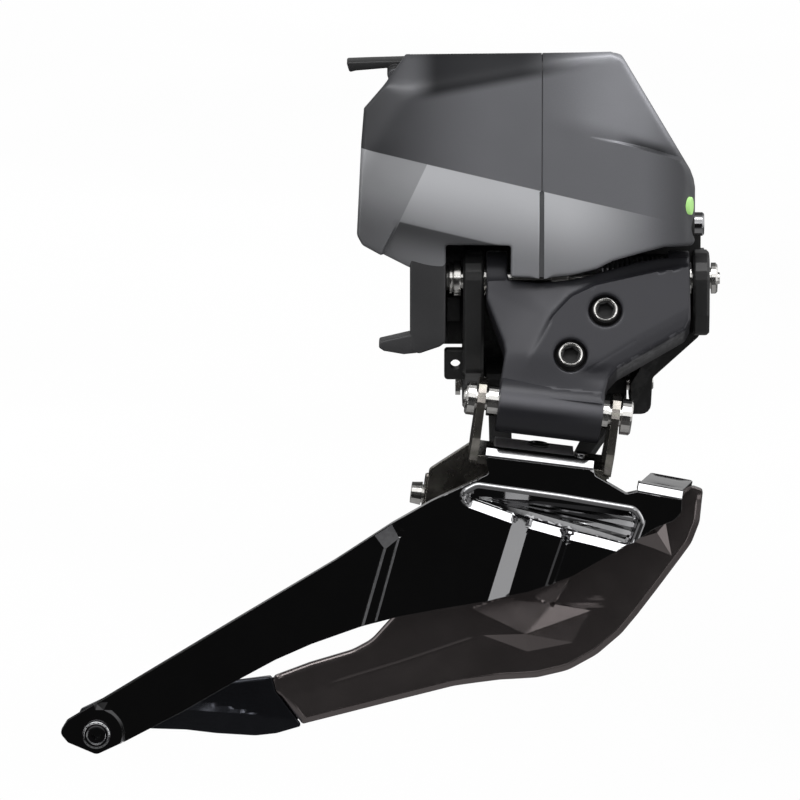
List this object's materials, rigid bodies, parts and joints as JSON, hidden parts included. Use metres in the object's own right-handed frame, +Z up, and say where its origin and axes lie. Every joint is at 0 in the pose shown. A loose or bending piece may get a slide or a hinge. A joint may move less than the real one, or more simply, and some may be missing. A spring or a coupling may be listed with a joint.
{
  "type": "front derailleur",
  "caption": "Electronic road front derailleur: two-part drive unit over a parallelogram linkage with limit screws, and a two-plate chain cage.",
  "frame": {"origin": "centre of the frame-mount pad, on its face", "axes": "+X forward along the bicycle, +Y inboard towards the frame tube (out of the pad), +Z up"},
  "size_m": [0.1058, 0.0497, 0.1136],
  "materials": {
    "cast_black": "satin black cast alloy",
    "steel": "turned bright steel",
    "shell_grey": "satin dark grey, lighter lower band",
    "rubber_black": "matte",
    "led_green": "clear green tinted",
    "black_plastic": "matte black",
    "brass": "turned",
    "board_green": "solder mask",
    "spring_steel": "dark spring wire",
    "link_grey": "satin anodised grey",
    "gear_white": "moulded",
    "bracket_steel": "pressed steel sheet, warm tint",
    "cage_black": "gloss black",
    "cage_brown": "gloss brown-black anodised",
    "tail_blue_black": "gloss blue-black anodised"
  },
  "bodies": {
    "mount_assembly": {"mount_body": "cast_black", "mount_bolt": "steel", "mount_washer": "steel", "housing_rear": "shell_grey", "housing_front": "shell_grey", "housing_seal": "rubber_black", "housing_screw_a": "steel", "housing_screw_b": "steel", "housing_screw_c": "steel", "housing_screw_d": "steel", "led_lens": "led_green", "button_seal": "rubber_black", "battery_cradle": "black_plastic", "contact_block": "black_plastic", "contact_pin_a": "brass", "contact_pin_b": "brass", "latch_pin": "steel", "drive_motor": "steel", "circuit_board": "board_green", "gear_shaft": "steel", "gear_plate": "black_plastic", "upper_pivot_pin": "steel", "upper_pivot_nut": "steel", "link_spring": "spring_steel", "inner_upper_pin": "steel"},
    "outer_link": {"outer_link": "link_grey", "upper_bush_rear": "steel", "upper_bush_front": "steel", "lower_bush_rear": "steel", "lower_bush_front": "steel", "sector_gear": "steel"},
    "limit_screw_high": {"limit_screw_high": "steel"},
    "limit_screw_low": {"limit_screw_low": "steel"},
    "inner_link": {"inner_link": "cast_black"},
    "cage": {"cage_bracket": "bracket_steel", "lower_pivot_pin": "steel", "lower_pivot_clip": "steel", "inner_lower_pin": "steel", "outer_plate": "cage_black", "inner_plate": "cage_brown", "inner_tail": "tail_blue_black", "tail_screw": "cage_black", "tail_spacer": "cage_black", "cage_screw_outer": "steel", "cage_screw_inner": "steel"},
    "reduction_gear": {"reduction_gear": "gear_white"},
    "motor_pinion": {"motor_pinion": "brass"},
    "battery_latch": {"battery_latch": "black_plastic"},
    "function_button": {"function_button": "black_plastic"}
  },
  "joints": [
    {"name": "outer_link_swing", "type": "hinge", "parent": "mount_assembly", "child": "outer_link", "pos_m": [-0.003, -0.024, 0.0124], "axis": [1, 0, 0], "range_deg": [-2, 25]},
    {"name": "inner_link_swing", "type": "hinge", "parent": "mount_assembly", "child": "inner_link", "pos_m": [-0.003, -0.008, -0.0078], "axis": [1, 0, 0], "range_deg": [-3, 26]},
    {"name": "cage_pivot", "type": "hinge", "parent": "outer_link", "child": "cage", "pos_m": [-0.0048, -0.0349, -0.0065], "axis": [0.9921, 0, -0.1253], "range_deg": [-26, 3]},
    {"name": "reduction_spin", "type": "hinge", "parent": "mount_assembly", "child": "reduction_gear", "pos_m": [-0.003, -0.02008, 0.02703], "axis": [1, 0, 0], "range_deg": [-104, 12]},
    {"name": "motor_spin", "type": "hinge", "parent": "mount_assembly", "child": "motor_pinion", "pos_m": [-0.003, -0.01832, 0.037], "axis": [1, 0, 0], "range_deg": [-36, 312]},
    {"name": "high_limit_turn", "type": "hinge", "parent": "outer_link", "child": "limit_screw_high", "pos_m": [0.0042, -0.02755, 0.00625], "axis": [0, -0.8663, 0.4996], "continuous": true},
    {"name": "low_limit_turn", "type": "hinge", "parent": "outer_link", "child": "limit_screw_low", "pos_m": [-0.0014, -0.03129, -0.00025], "axis": [0, -0.8663, 0.4996], "continuous": true},
    {"name": "latch_hinge", "type": "hinge", "parent": "mount_assembly", "child": "battery_latch", "pos_m": [-0.0294, -0.019, 0.0454], "axis": [0, 1, 0], "range_deg": [0, 70]},
    {"name": "button_press", "type": "slide", "parent": "mount_assembly", "child": "function_button", "axis": [-1, 0, 0], "range_m": [0, 0.0008]}
  ],
  "couplings": [
    {"joint": "inner_link_swing", "follows": "outer_link_swing", "ratio": 1},
    {"joint": "cage_pivot", "follows": "outer_link_swing", "ratio": -1},
    {"joint": "reduction_spin", "follows": "outer_link_swing", "ratio": -4},
    {"joint": "motor_spin", "follows": "outer_link_swing", "ratio": 12}
  ]
}
